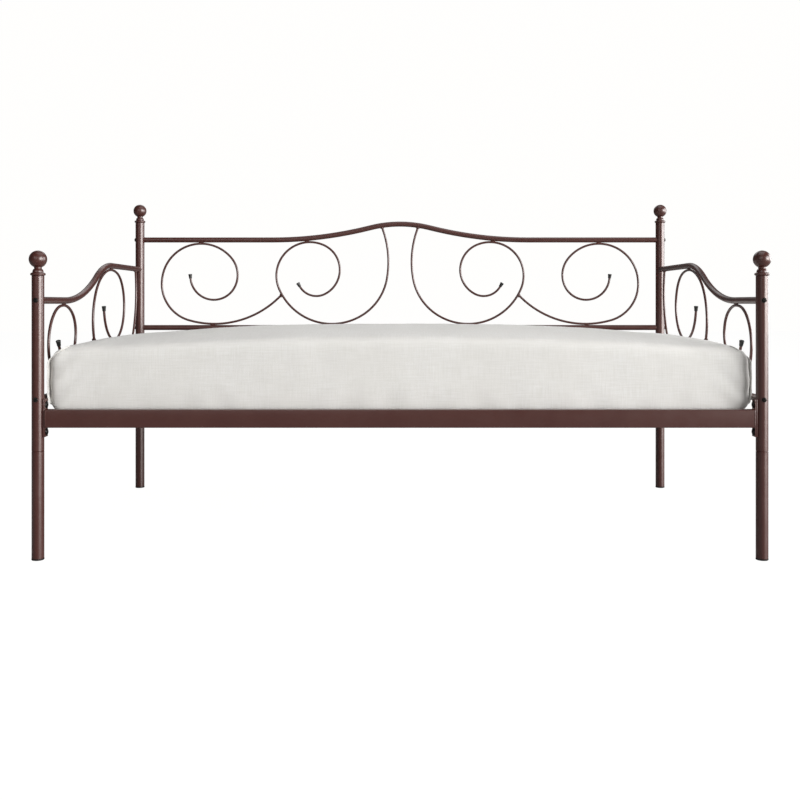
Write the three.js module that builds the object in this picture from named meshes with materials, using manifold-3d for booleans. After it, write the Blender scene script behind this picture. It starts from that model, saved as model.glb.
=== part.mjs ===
// Daybed: four ball-topped steel posts, two arm panels and a back panel with welded scrollwork,
// two bolted rails that carry steel slats, and a loose mattress. Millimetres, +Z up, +X along the
// bed, the open front facing -Y. The origin is on the floor under the middle of the bed.
import * as THREE from "three";
import { mergeVertices } from "three/addons/utils/BufferGeometryUtils.js";
import Module from "manifold-3d";

const wasm = await Module();
wasm.setup();

// ---- Driving dimensions -------------------------------------------------------------------
const POST_X = 960; // post axes, left and right of the middle
const POST_Y = 502.5; // post axes, in front of and behind the middle
const GAP = 0.3; // left between pieces that touch

const POST_RADIUS = 16;
const POST_WALL = 1.5;
const LEG_SEAM_Z = 288; // the posts stand on the legs here
const SPIGOT_HEIGHT = 40; // swaged top of a leg, inside its post
const SWAGE_HEIGHT = 6; // over which a leg's bore narrows
const FRONT_POST_TOP = 752.7;
const REAR_POST_TOP = 976.3;

const GLIDE_HEIGHT = 4; // the part of a glide below the leg
const GLIDE_RADIUS = 16.4;
const GLIDE_EDGE = { inset: 2, height: 1.5 }; // chamfer of its lower edge
const GLIDE_PLUG_EDGE = 2;
const GLIDE_PLUG_HEIGHT = 22;

const BALL_RADIUS = 23.25;
const BALL_CENTRE = 43.7; // above the post's top
const NECK_RADIUS = 9.5;
const NECK_HEIGHT = 19.5;
const DOME_RADIUS = 14.2;
const DOME_BASE = 8.6;
const DOME_ANGLES = [0, 35, 65]; // of its rounded top, in degrees
const COLLAR_RADIUS = 19.5;
const COLLAR_LOW = 3; // its widest band, above the post's top
const COLLAR_HIGH = 6;
const FINIAL_PLUG_DEPTH = 20;

const TUBE_RADIUS = 9.5; // arm and back tubes
const TUBE_WALL = 1.3;
const ROD_RADIUS = 4; // scroll rods
const PLUG_START = 5; // threaded plug welded in each tube end, from the post's axis
const PLUG_END = 42;

const ARM_LOWER_Z = 425;
const ARM_TOP_Z = 687.5;
const ARM_LEVEL = 208; // from the front post's axis to where the arm starts to rise
const ARM_RISE = { angle: 29.5, lower: 585, upper: 315 }; // S-bend: slope and its two radii

const BACK_LOWER_Z = 589.8;
const BACK_TOP_Z = 913.2;
const BACK_RISE = { angle: 14.14, lower: 1485, upper: 449 }; // each side of the crest

// Scrolls, as [radius, clockwise sweep in degrees] from the tail to the curled tip.
// Back scrolls are drawn for the left half, in x and z; arm scrolls in the distance behind the
// front post's axis and z. Headings are in degrees from the first axis, anticlockwise.
const SCROLLS = {
  backInner: {
    start: [-68.9, 965.8],
    heading: -68,
    arcs: [[357, 32], [199, 47], [212, 100], [124, 138], [100, 128], [70.5, 86.5]],
  },
  backOuter: {
    start: [-436.3, 711.7],
    heading: -133,
    arcs: [[340, 63], [139, 72], [160, 14], [145, 129], [98, 65], [86.5, 149]],
  },
  armRear: {
    start: [942.6, 804.2],
    heading: -75,
    arcs: [[310, 46], [259, 103], [156, 105], [230, 48], [111, 39], [114.5, 205]],
  },
  armFront: {
    start: [469.7, 566.8],
    heading: -129,
    arcs: [[346, 48], [137, 68], [109, 109], [253, 4], [122, 37], [73.5, 209.5]],
  },
};
const TIP_LENGTH = 16; // flared cap on a scroll's tip
const TIP_COVER = 10; // how far the cap goes over the rod
const TIP_BASE_RADIUS = 5.4;
const TIP_TOP_RADIUS = 7;
const TIP_RIM = { height: 2, inset: 0.8 }; // chamfer of its flat end

const RAIL_Z = 374.5; // middle of the rails' height
const RAIL_DEPTH = 25;
const RAIL_HEIGHT = 48;
const RAIL_WALL = 1.5;
const LEDGE_TOP_Z = 372; // the slats lie on a ledge inside each rail
const LEDGE_WIDTH = 25;
const LEDGE_THICKNESS = 2;

const PLATE_THICKNESS = 3; // a bracket on the post and a plate on the rail's end
const PLATE_HEIGHT = 100;
const PLATE_Z = 376;
const PLATE_OUTER = 10; // from the post's axis towards the outside of the bed
const PLATE_INNER = 12; // and towards the slats
const PLATE_WELD = 0.8; // the bracket's weld into the post's side
const RAIL_WELD = 1; // how far the rail's tube goes into its plates, and the ledge into the tube
const RAIL_BOLT_HEIGHTS = [339, 411];
const RAIL_BOLT_HOLE = 4.3;
const VENT_RADIUS = 6;

const SLAT_COUNT = 10;
const SLAT_PITCH = 180;
const SLAT_WIDTH = 30;
const SLAT_HEIGHT = 12;
const SLAT_WALL = 1.2;
const SLAT_LENGTH = 977;

const MATTRESS = { length: 1888, width: 965, bottom: 385, edge: 570, corner: 40, hem: 30 };
const MATTRESS_CROWN = 38; // the middle of the top above its ends
const CROWN_SHARE = { along: 0.6, across: 0.4 };
const MATTRESS_STEPS = [10, 8, 6];

const BOLT = { shank: 3, length: 50, head: 6, crown: 4, socket: 2, socketFloor: 1.6 };
const BOLT_EDGE = { band: 1.2, shoulder: [4.8, 3] }; // straight band, then the dome's shoulder
const BOLT_HOLE = 3.4;
const BOLT_POINT = 0.6; // chamfer of its end

// Facets, kept few on small round parts.
const POST_SIDES = 16;
const BALL_STEPS = 7;
const TUBE_HALF = 7; // half the sides of a tube's section
const ROD_HALF = 4;
const CUTTER_HALF = 12; // of the tube shapes that rods are coped to
const COPE_SIDES = 40; // of the post shapes that tubes are coped to
const SMALL_SIDES = 8; // bolts and holes
const TIP_SIDES = 10;
const SCROLL_STEP = 15; // degrees of bend between sections
const ARM_STEP = 7.5;
const BACK_STEP = 4.8;
const ROD_COPE_GAP = 0.33; // between two rods, allowing for their facets
const REACH = 10; // how far a cutter passes what it cuts

// ---- Materials ----------------------------------------------------------------------------
const material = (color, roughness, metalness) =>
  new THREE.MeshStandardMaterial({ color, roughness, metalness });
const bronze = material(0x4d3731, 0.42, 0.55);
const blackSteel = material(0x17140f, 0.35, 0.6);
const darkPlastic = material(0x1b1a17, 0.6, 0.0);
const deckSteel = material(0x3a2c28, 0.5, 0.5);
const linen = material(0xe2e1dc, 0.9, 0.0);

// ---- Solids -------------------------------------------------------------------------------
function toSolid(geometry) {
  const bare = geometry.clone();
  bare.deleteAttribute("normal");
  bare.deleteAttribute("uv");
  const merged = mergeVertices(bare, 1e-4);
  const mesh = new wasm.Mesh({
    numProp: 3,
    vertProperties: merged.attributes.position.array,
    triVerts: new Uint32Array(merged.index.array),
  });
  return new wasm.Manifold(mesh);
}

function toGeometry(solid) {
  const { vertProperties, triVerts } = solid.getMesh();
  const geometry = new THREE.BufferGeometry();
  geometry.setAttribute("position", new THREE.BufferAttribute(vertProperties, 3));
  geometry.setIndex(new THREE.BufferAttribute(triVerts, 1));
  const faceted = geometry.toNonIndexed();
  faceted.computeVertexNormals();
  return faceted;
}

/** A base geometry with some joined to it and some cut from it. */
function weldAndCut(base, joined, cut) {
  let solid = toSolid(base);
  for (const geometry of joined) solid = solid.add(toSolid(geometry));
  for (const geometry of cut) solid = solid.subtract(toSolid(geometry));
  return toGeometry(solid);
}

/** A cylinder between two points. */
function cylinder(from, to, radius, sides) {
  const axis = new THREE.Vector3().subVectors(to, from);
  const turn = new THREE.Quaternion();
  turn.setFromUnitVectors(new THREE.Vector3(0, 1, 0), axis.clone().normalize());
  const middle = new THREE.Vector3().addVectors(from, to).multiplyScalar(0.5);
  return new THREE.CylinderGeometry(radius, radius, axis.length(), sides)
    .applyQuaternion(turn)
    .translate(middle.x, middle.y, middle.z);
}

function box(low, high) {
  const size = new THREE.Vector3().subVectors(high, low);
  const middle = new THREE.Vector3().addVectors(low, high).multiplyScalar(0.5);
  return new THREE.BoxGeometry(size.x, size.y, size.z).translate(middle.x, middle.y, middle.z);
}

/** A turned solid about +Z from a profile of [radius, height] points, bottom to top. */
function turned(profile, sides) {
  const points = profile.map(([radius, height]) => new THREE.Vector2(radius, height));
  return new THREE.LatheGeometry(points, sides).rotateX(Math.PI / 2);
}

const point = (x, y, z) => new THREE.Vector3(x, y, z);
const radians = THREE.MathUtils.degToRad;

// ---- Bent tubes and rods ------------------------------------------------------------------
/** A run of straights and tangent arcs, sampled only at its stations. */
class BentPath extends THREE.Curve {
  constructor(stations) {
    super();
    this.stations = stations;
    this.steps = stations.length - 1;
  }
  sample(t, key, target) {
    const place = t * this.steps;
    const index = Math.min(Math.floor(place), this.steps - 1);
    const [before, after] = [this.stations[index][key], this.stations[index + 1][key]];
    return target.lerpVectors(before, after, place - index);
  }
  getPoint(t, target = new THREE.Vector3()) {
    return this.sample(t, "point", target);
  }
  getPointAt(t, target) {
    return this.getPoint(t, target);
  }
  getTangent(t, target = new THREE.Vector3()) {
    return this.sample(t, "tangent", target).normalize();
  }
  getTangentAt(t, target) {
    return this.getTangent(t, target);
  }
}

/**
 * Lays straights ({ straight }) and arcs ({ radius, turn }, anticlockwise positive) end to end in
 * a plane. place(u, v) puts a plane point in space. Each arc has a station every arcStep degrees.
 */
function bend(start, heading, segments, place, arcStep) {
  let [u, v] = start;
  let angle = radians(heading);
  const origin = place(0, 0);
  const stations = [];
  const addStation = () => {
    const tangent = place(Math.cos(angle), Math.sin(angle)).sub(origin);
    stations.push({ point: place(u, v), tangent });
  };
  addStation();
  for (const { straight, radius, turn } of segments) {
    if (straight) {
      u += straight * Math.cos(angle);
      v += straight * Math.sin(angle);
      addStation();
      continue;
    }
    const side = Math.sign(turn);
    const centre = [u - side * radius * Math.sin(angle), v + side * radius * Math.cos(angle)];
    const first = angle;
    const steps = Math.ceil(Math.abs(turn) / arcStep);
    for (let i = 1; i <= steps; i++) {
      angle = first + (radians(turn) * i) / steps;
      u = centre[0] + side * radius * Math.sin(angle);
      v = centre[1] - side * radius * Math.cos(angle);
      addStation();
    }
  }
  return new BentPath(stations);
}

/** A round bar along a path, or a tube where a bore is given. Its section has 2 x half sides. */
function sweep(path, radius, half, bore = 0) {
  const section = new THREE.Shape().absarc(0, 0, radius, 0, 2 * Math.PI);
  if (bore) section.holes.push(new THREE.Path().absarc(0, 0, bore, 0, 2 * Math.PI, true));
  return new THREE.ExtrudeGeometry(section, {
    steps: path.steps,
    extrudePath: path,
    curveSegments: half,
    bevelEnabled: false,
  });
}

const backPlane = (side) => (u, v) => point(-side * u, 0, v); // side -1 left, as drawn; +1 right
const armPlane = (u, v) => point(0, u - POST_Y, v);

function scrollPath({ start, heading, arcs }, place) {
  const segments = arcs.map(([radius, angle]) => ({ radius, turn: -angle }));
  return bend(start, heading, [...segments, { straight: TIP_COVER }], place, SCROLL_STEP);
}

/** A scroll rod, its tail coped to what it is welded to. */
function scroll(path, weldedTo) {
  return weldAndCut(sweep(path, ROD_RADIUS, ROD_HALF), [], [weldedTo]);
}

/** The flared cap over a scroll's tip, bored to take the rod's end. */
function scrollTip(path) {
  const { point: end, tangent } = path.stations[path.steps];
  const bore = ROD_RADIUS + GAP;
  const cap = turned(
    [
      [bore, GAP - TIP_COVER],
      [TIP_BASE_RADIUS, GAP - TIP_COVER],
      [TIP_TOP_RADIUS, TIP_LENGTH - TIP_COVER - TIP_RIM.height],
      [TIP_TOP_RADIUS - TIP_RIM.inset, TIP_LENGTH - TIP_COVER],
      [0, TIP_LENGTH - TIP_COVER],
      [0, GAP],
      [bore, GAP],
      [bore, GAP - TIP_COVER],
    ],
    TIP_SIDES,
  );
  const turn = new THREE.Quaternion().setFromUnitVectors(point(0, 0, 1), tangent);
  return cap.applyQuaternion(turn).translate(end.x, end.y, end.z);
}

// ---- Corner pieces, about their post's axis -----------------------------------------------
function glide() {
  const plug = POST_RADIUS - POST_WALL - GAP;
  return turned(
    [
      [0, 0],
      [GLIDE_RADIUS - GLIDE_EDGE.inset, 0],
      [GLIDE_RADIUS, GLIDE_EDGE.height],
      [GLIDE_RADIUS, GLIDE_HEIGHT - GAP],
      [plug, GLIDE_HEIGHT - GAP],
      [plug, GLIDE_PLUG_HEIGHT],
      [plug - GLIDE_PLUG_EDGE, GLIDE_PLUG_HEIGHT + GLIDE_PLUG_EDGE],
      [0, GLIDE_PLUG_HEIGHT + GLIDE_PLUG_EDGE],
    ],
    POST_SIDES,
  );
}

function leg() {
  const bore = POST_RADIUS - POST_WALL;
  const spigot = bore - GAP;
  const shoulder = LEG_SEAM_Z - GAP;
  const top = LEG_SEAM_Z + SPIGOT_HEIGHT;
  return turned(
    [
      [bore, GLIDE_HEIGHT],
      [POST_RADIUS, GLIDE_HEIGHT],
      [POST_RADIUS, shoulder],
      [spigot, shoulder],
      [spigot, top],
      [spigot - POST_WALL, top],
      [spigot - POST_WALL, shoulder],
      [bore, shoulder - SWAGE_HEIGHT],
      [bore, GLIDE_HEIGHT],
    ],
    POST_SIDES,
  );
}

/**
 * A post with its rail bracket. The signs inward, along X towards the middle of the bed, and
 * outward, along Y away from it, place the bracket. Arm bolts go along Y, back bolts along X.
 */
function post(top, inward, outward, armBolts, backBolts) {
  const bore = POST_RADIUS - POST_WALL;
  const shell = turned(
    [
      [bore, LEG_SEAM_Z],
      [POST_RADIUS, LEG_SEAM_Z],
      [POST_RADIUS, top],
      [bore, top],
      [bore, LEG_SEAM_Z],
    ],
    POST_SIDES,
  );
  const faces = [POST_RADIUS - PLATE_WELD, POST_RADIUS + PLATE_THICKNESS].map((x) => x * inward);
  const edges = [PLATE_OUTER * outward, -PLATE_INNER * outward];
  const bracket = box(
    point(Math.min(...faces), Math.min(...edges), PLATE_Z - PLATE_HEIGHT / 2),
    point(Math.max(...faces), Math.max(...edges), PLATE_Z + PLATE_HEIGHT / 2),
  );
  const reach = POST_RADIUS + REACH;
  const hole = (from, to, radius) => cylinder(from, to, radius, SMALL_SIDES);
  const holes = [
    ...RAIL_BOLT_HEIGHTS.map((z) => hole(point(0, 0, z), point(reach * inward, 0, z), RAIL_BOLT_HOLE)),
    ...armBolts.map((z) => hole(point(0, -reach, z), point(0, reach, z), BOLT_HOLE)),
    ...backBolts.map((z) => hole(point(-reach, 0, z), point(reach, 0, z), BOLT_HOLE)),
  ];
  return weldAndCut(shell, [bracket], holes);
}

/** Ball, neck, dome, collar and plug in one turned piece, about the top of its post. */
function finial() {
  const plug = POST_RADIUS - POST_WALL - GAP;
  const profile = [
    [0, -FINIAL_PLUG_DEPTH],
    [plug, -FINIAL_PLUG_DEPTH],
    [plug, GAP],
    [POST_RADIUS + 1, GAP],
    [COLLAR_RADIUS, COLLAR_LOW],
    [COLLAR_RADIUS, COLLAR_HIGH],
    [DOME_RADIUS + 1, DOME_BASE],
  ];
  for (const angle of DOME_ANGLES) {
    const radius = NECK_RADIUS + (DOME_RADIUS - NECK_RADIUS) * Math.cos(radians(angle));
    profile.push([radius, DOME_BASE + (NECK_HEIGHT - DOME_BASE) * Math.sin(radians(angle))]);
  }
  profile.push([NECK_RADIUS, NECK_HEIGHT]);
  const lowest = -Math.acos(NECK_RADIUS / BALL_RADIUS);
  for (let i = 0; i < BALL_STEPS; i++) {
    const angle = lowest + ((Math.PI / 2 - lowest) * i) / BALL_STEPS;
    profile.push([BALL_RADIUS * Math.cos(angle), BALL_CENTRE + BALL_RADIUS * Math.sin(angle)]);
  }
  profile.push([0, BALL_CENTRE + BALL_RADIUS]);
  return turned(profile, POST_SIDES);
}

// ---- Panel tubes --------------------------------------------------------------------------
/** A tube between two post axes: coped to both posts, with a threaded plug in each end. */
function panelTube(path) {
  const tube = sweep(path, TUBE_RADIUS, TUBE_HALF, TUBE_RADIUS - TUBE_WALL);
  const plugs = [];
  const cuts = [];
  for (const [index, inwards] of [[0, 1], [path.steps, -1]]) {
    const { point: axis, tangent } = path.stations[index];
    const along = (distance) => axis.clone().addScaledVector(tangent, inwards * distance);
    const plugRadius = TUBE_RADIUS - TUBE_WALL / 2;
    plugs.push(cylinder(along(PLUG_START), along(PLUG_END), plugRadius, POST_SIDES));
    const up = point(0, 0, POST_RADIUS + REACH);
    const [foot, head] = [axis.clone().sub(up), axis.clone().add(up)];
    cuts.push(cylinder(foot, head, POST_RADIUS + GAP, COPE_SIDES));
    cuts.push(cylinder(along(0), along(PLUG_END + REACH), BOLT_HOLE, SMALL_SIDES));
  }
  return weldAndCut(tube, plugs, cuts);
}

/** A bolt with a domed head, its shank along -Z from the head's underside at the origin. */
function bolt() {
  const { shank, length, head, crown, socket, socketFloor } = BOLT;
  return turned(
    [
      [0, -length],
      [shank - BOLT_POINT, -length],
      [shank, BOLT_POINT - length],
      [shank, 0],
      [head, 0],
      [head, BOLT_EDGE.band],
      BOLT_EDGE.shoulder,
      [socket, crown],
      [socket, socketFloor],
      [0, socketFloor],
    ],
    SMALL_SIDES,
  );
}

const risePath = ({ angle, lower, upper }) => [
  { radius: lower, turn: angle },
  { radius: upper, turn: -angle },
];
const riseRun = ({ angle, lower, upper }) => (lower + upper) * Math.sin(radians(angle));

function armTopPath() {
  const level = 2 * POST_Y - ARM_LEVEL - riseRun(ARM_RISE);
  const segments = [{ straight: ARM_LEVEL }, ...risePath(ARM_RISE), { straight: level }];
  return bend([0, ARM_TOP_Z], 0, segments, armPlane, ARM_STEP);
}

function backTopPath() {
  const level = POST_X - riseRun(BACK_RISE);
  const up = risePath(BACK_RISE);
  const down = risePath(BACK_RISE).reverse();
  const segments = [{ straight: level }, ...up, ...down, { straight: level }];
  return bend([-POST_X, BACK_TOP_Z], 0, segments, backPlane(-1), BACK_STEP);
}

// ---- Deck ---------------------------------------------------------------------------------
/** A rectangular tube section, in two coordinates. */
function boxSection(width, height, wall) {
  const ring = (shape, w, h) =>
    shape.moveTo(-w / 2, -h / 2).lineTo(w / 2, -h / 2).lineTo(w / 2, h / 2).lineTo(-w / 2, h / 2);
  const section = ring(new THREE.Shape(), width, height);
  section.holes.push(ring(new THREE.Path(), width - 2 * wall, height - 2 * wall));
  return section;
}

/** A rail with its slat ledge and its two bolted end plates; inward is +1 or -1 along Y. */
function rail(inward) {
  const plateOuter = POST_X - POST_RADIUS - PLATE_THICKNESS - GAP; // from the middle of the bed
  const plateInner = plateOuter - PLATE_THICKNESS;
  const length = 2 * (plateInner + RAIL_WELD);
  const tube = new THREE.ExtrudeGeometry(boxSection(RAIL_DEPTH, RAIL_HEIGHT, RAIL_WALL), {
    depth: length,
    bevelEnabled: false,
  })
    .applyMatrix4(new THREE.Matrix4().makeBasis(point(0, 1, 0), point(0, 0, 1), point(1, 0, 0)))
    .translate(-length / 2, 0, RAIL_Z);
  const face = (RAIL_DEPTH / 2) * inward;
  const ledgeEdges = [face - RAIL_WELD * inward, face + LEDGE_WIDTH * inward];
  const joined = [
    box(
      point(-plateInner, Math.min(...ledgeEdges), LEDGE_TOP_Z - LEDGE_THICKNESS),
      point(plateInner, Math.max(...ledgeEdges), LEDGE_TOP_Z),
    ),
  ];
  const cuts = [];
  const plateEdges = [-PLATE_OUTER * inward, PLATE_INNER * inward];
  for (const end of [-1, 1]) {
    const faces = [plateInner * end, plateOuter * end];
    joined.push(
      box(
        point(Math.min(...faces), Math.min(...plateEdges), PLATE_Z - PLATE_HEIGHT / 2),
        point(Math.max(...faces), Math.max(...plateEdges), PLATE_Z + PLATE_HEIGHT / 2),
      ),
    );
    const hole = (z, radius) => {
      const from = point((plateInner - REACH) * end, 0, z);
      return cylinder(from, point((plateOuter + REACH) * end, 0, z), radius, SMALL_SIDES);
    };
    cuts.push(hole(RAIL_Z, VENT_RADIUS));
    for (const z of RAIL_BOLT_HEIGHTS) cuts.push(hole(z, RAIL_BOLT_HOLE));
  }
  return weldAndCut(tube, joined, cuts);
}

/** A slat across the bed, resting on both ledges. */
function slat() {
  return new THREE.ExtrudeGeometry(boxSection(SLAT_WIDTH, SLAT_HEIGHT, SLAT_WALL), {
    depth: SLAT_LENGTH,
    bevelEnabled: false,
  })
    .rotateX(Math.PI / 2)
    .translate(0, SLAT_LENGTH / 2, LEDGE_TOP_Z + GAP + SLAT_HEIGHT / 2);
}

/** The mattress as one crowned block with round upright corners and soft top and bottom edges. */
function mattress() {
  const { length, width, bottom, edge, corner, hem } = MATTRESS;
  const half = point(length / 2, width / 2, (edge - bottom) / 2);
  const inner = point(half.x - corner, half.y - corner, 0);
  const geometry = new THREE.BoxGeometry(2, 2, 2, ...MATTRESS_STEPS);
  const position = geometry.attributes.position;
  const spread = (t) => Math.sin((t * Math.PI) / 2); // crowds the rows towards the edges
  for (let i = 0; i < position.count; i++) {
    const [s, t, level] = [position.getX(i), position.getY(i), position.getZ(i)].map(spread);
    const outline = point(s * half.x, t * half.y, 0);
    const core = outline.clone().clamp(inner.clone().negate(), inner);
    const beyond = outline.clone().sub(core);
    if (beyond.length() > corner) outline.copy(core).add(beyond.setLength(corner));
    const z = level * half.z;
    const turn = Math.max(Math.abs(z) - half.z + hem, 0) / hem; // 0 on the side, 1 at the rim
    const inset = hem * (1 - Math.sqrt(1 - turn * turn));
    const x = outline.x * (1 - inset / half.x);
    const y = outline.y * (1 - inset / half.y);
    const rise = CROWN_SHARE.along * (1 - s * s) + CROWN_SHARE.across * (1 - t * t);
    const crown = MATTRESS_CROWN * rise * (0.5 + level / 2);
    position.setXYZ(i, x, y, bottom + half.z + z + crown);
  }
  geometry.computeVertexNormals();
  return geometry;
}

// ---- Assembly -----------------------------------------------------------------------------
const group = new THREE.Group();

function add(parent, name, geometry, finish, x = 0, y = 0, z = 0) {
  const mesh = new THREE.Mesh(geometry, finish);
  mesh.name = name;
  mesh.position.set(x, y, z);
  parent.add(mesh);
}

function addGroup(x, y) {
  const part = new THREE.Group();
  part.position.set(x, y, 0);
  group.add(part);
  return part;
}

const SIDES = [["left", -1], ["right", 1]];
const armTop = armTopPath();
const armTopRearZ = armTop.stations[armTop.steps].point.z;

/** Glide, leg, post and finial at each corner. */
for (const [side, x] of SIDES) {
  for (const [end, y] of [["front", -1], ["rear", 1]]) {
    const corner = addGroup(x * POST_X, y * POST_Y);
    const isRear = end === "rear";
    const top = isRear ? REAR_POST_TOP : FRONT_POST_TOP;
    const armBolts = [ARM_LOWER_Z, isRear ? armTopRearZ : ARM_TOP_Z];
    const backBolts = isRear ? [BACK_LOWER_Z, BACK_TOP_Z] : [];
    const name = `${end}_${side}`;
    add(corner, `${name}_glide`, glide(), darkPlastic);
    add(corner, `${name}_leg`, leg(), bronze);
    add(corner, `${name}_post`, post(top, -x, y, armBolts, backBolts), bronze);
    add(corner, `${name}_finial`, finial(), bronze, 0, 0, top);
  }
}

/** Each arm: two tubes and two scrolls between the posts, and the bolts through the front post. */
const armLower = bend([0, ARM_LOWER_Z], 0, [{ straight: 2 * POST_Y }], armPlane, ARM_STEP);
const armRear = scrollPath(SCROLLS.armRear, armPlane);
const armFront = scrollPath(SCROLLS.armFront, armPlane);
for (const [side, x] of SIDES) {
  const arm = addGroup(x * POST_X, 0);
  add(arm, `${side}_arm_top_tube`, panelTube(armTop), bronze);
  add(arm, `${side}_arm_lower_tube`, panelTube(armLower), bronze);
  const topTube = sweep(armTop, TUBE_RADIUS + GAP, CUTTER_HALF);
  add(arm, `${side}_arm_rear_scroll`, scroll(armRear, topTube), bronze);
  const rearScroll = sweep(armRear, ROD_RADIUS + ROD_COPE_GAP, ROD_HALF);
  add(arm, `${side}_arm_front_scroll`, scroll(armFront, rearScroll), bronze);
  add(arm, `${side}_arm_rear_scroll_tip`, scrollTip(armRear), darkPlastic);
  add(arm, `${side}_arm_front_scroll_tip`, scrollTip(armFront), darkPlastic);
  for (const [level, z] of [["lower", ARM_LOWER_Z], ["upper", ARM_TOP_Z]]) {
    const seat = -POST_Y - POST_RADIUS - GAP;
    add(arm, `${side}_arm_${level}_bolt`, bolt().rotateX(Math.PI / 2), blackSteel, 0, seat, z);
  }
}

/** The back: two tubes, a pair of scrolls each side of the middle, and four bolts. */
const back = addGroup(0, POST_Y);
const backTop = backTopPath();
const backRun = [{ straight: 2 * POST_X }];
const backLower = bend([-POST_X, BACK_LOWER_Z], 0, backRun, backPlane(-1), BACK_STEP);
add(back, "back_top_tube", panelTube(backTop), bronze);
add(back, "back_lower_tube", panelTube(backLower), bronze);
for (const [side, x] of SIDES) {
  const inner = scrollPath(SCROLLS.backInner, backPlane(x));
  const outer = scrollPath(SCROLLS.backOuter, backPlane(x));
  const topTube = sweep(backTop, TUBE_RADIUS + GAP, CUTTER_HALF);
  const innerScroll = sweep(inner, ROD_RADIUS + ROD_COPE_GAP, ROD_HALF);
  add(back, `back_${side}_inner_scroll`, scroll(inner, topTube), bronze);
  add(back, `back_${side}_outer_scroll`, scroll(outer, innerScroll), bronze);
  add(back, `back_${side}_inner_scroll_tip`, scrollTip(inner), darkPlastic);
  add(back, `back_${side}_outer_scroll_tip`, scrollTip(outer), darkPlastic);
  for (const [level, z] of [["lower", BACK_LOWER_Z], ["upper", BACK_TOP_Z]]) {
    const seat = x * (POST_X + POST_RADIUS + GAP);
    const turnedOut = bolt().rotateY((x * Math.PI) / 2);
    add(back, `back_${side}_${level}_bolt`, turnedOut, blackSteel, seat, 0, z);
  }
}

/** Rails and slats. */
add(addGroup(0, -POST_Y), "front_rail", rail(1), bronze);
add(addGroup(0, POST_Y), "rear_rail", rail(-1), bronze);
const deck = addGroup(0, 0);
for (let i = 0; i < SLAT_COUNT; i++) {
  const x = (i - (SLAT_COUNT - 1) / 2) * SLAT_PITCH;
  add(deck, `slat_${String(i + 1).padStart(2, "0")}`, slat(), deckSteel, x);
}

add(group, "mattress", mattress(), linen);

export default group;
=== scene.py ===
import math

import bmesh
import bpy
import numpy as np
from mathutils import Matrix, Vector, noise


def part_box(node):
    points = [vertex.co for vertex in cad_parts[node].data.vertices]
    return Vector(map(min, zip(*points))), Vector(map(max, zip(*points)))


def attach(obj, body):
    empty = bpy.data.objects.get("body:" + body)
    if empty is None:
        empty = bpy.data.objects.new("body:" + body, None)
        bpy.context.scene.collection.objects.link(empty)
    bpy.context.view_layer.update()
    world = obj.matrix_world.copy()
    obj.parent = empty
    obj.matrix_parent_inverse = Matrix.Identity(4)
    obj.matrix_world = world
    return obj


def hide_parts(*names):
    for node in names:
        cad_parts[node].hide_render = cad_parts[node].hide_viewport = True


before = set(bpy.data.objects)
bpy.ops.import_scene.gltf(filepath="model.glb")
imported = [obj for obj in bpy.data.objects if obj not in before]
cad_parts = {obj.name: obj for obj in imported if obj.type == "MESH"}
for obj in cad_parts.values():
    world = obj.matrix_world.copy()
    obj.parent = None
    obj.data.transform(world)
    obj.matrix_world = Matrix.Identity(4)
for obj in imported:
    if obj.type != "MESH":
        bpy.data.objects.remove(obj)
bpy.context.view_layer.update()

SCENE = bpy.context.scene
MM = 0.001
UP = Vector((0, 0, 1))
X_AXIS = Vector((1, 0, 0))
Y_AXIS = Vector((0, 1, 0))


# ---- Sizes shared with the CAD model, in metres ---------------------------------------------
def corner_post(name):
    """(axis, seam height, top height) of a post, from its CAD nodes."""
    low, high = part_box(f"{name}_leg")
    post_low, post_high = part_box(f"{name}_post")
    return Vector(((low.x + high.x) / 2, (low.y + high.y) / 2, 0)), post_low.z, post_high.z


def tube_height(node):
    """The height of a tube's axis at its lowest level stretch."""
    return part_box(node)[0].z + TUBE_R


POST_R = 16 * MM
TUBE_R = 9.5 * MM
ROD_R = 4 * MM
POST_AT = {
    f"{end}_{side}": corner_post(f"{end}_{side}")
    for end in ("front", "rear")
    for side in ("left", "right")
}
POST_X = POST_AT["rear_right"][0].x
POST_Y = POST_AT["rear_right"][0].y
ARM_LOWER_Z = tube_height("left_arm_lower_tube")
ARM_TOP_Z = tube_height("left_arm_top_tube")
BACK_LOWER_Z = tube_height("back_lower_tube")
BACK_TOP_Z = tube_height("back_top_tube")
ARM_LEVEL = 208 * MM
ARM_RISE = (29.5, 585 * MM, 315 * MM)  # slope in degrees, lower and upper radius
BACK_RISE = (14.14, 1485 * MM, 449 * MM)

# The scrolls of part.mjs: start, heading in degrees, then [radius in mm, clockwise sweep].
SCROLLS = {
    "back_inner": (
        (-68.9, 965.8), -68,
        [(357, 32), (199, 47), (212, 100), (124, 138), (100, 128), (70.5, 86.5)],
    ),
    "back_outer": (
        (-436.3, 711.7), -133,
        [(340, 63), (139, 72), (160, 14), (145, 129), (98, 65), (86.5, 149)],
    ),
    "arm_rear": (
        (942.6, 804.2), -75,
        [(310, 46), (259, 103), (156, 105), (230, 48), (111, 39), (114.5, 205)],
    ),
    "arm_front": (
        (469.7, 566.8), -129,
        [(346, 48), (137, 68), (109, 109), (253, 4), (122, 37), (73.5, 209.5)],
    ),
}
TIP_LENGTH = 16 * MM
TIP_COVER = 10 * MM

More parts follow.
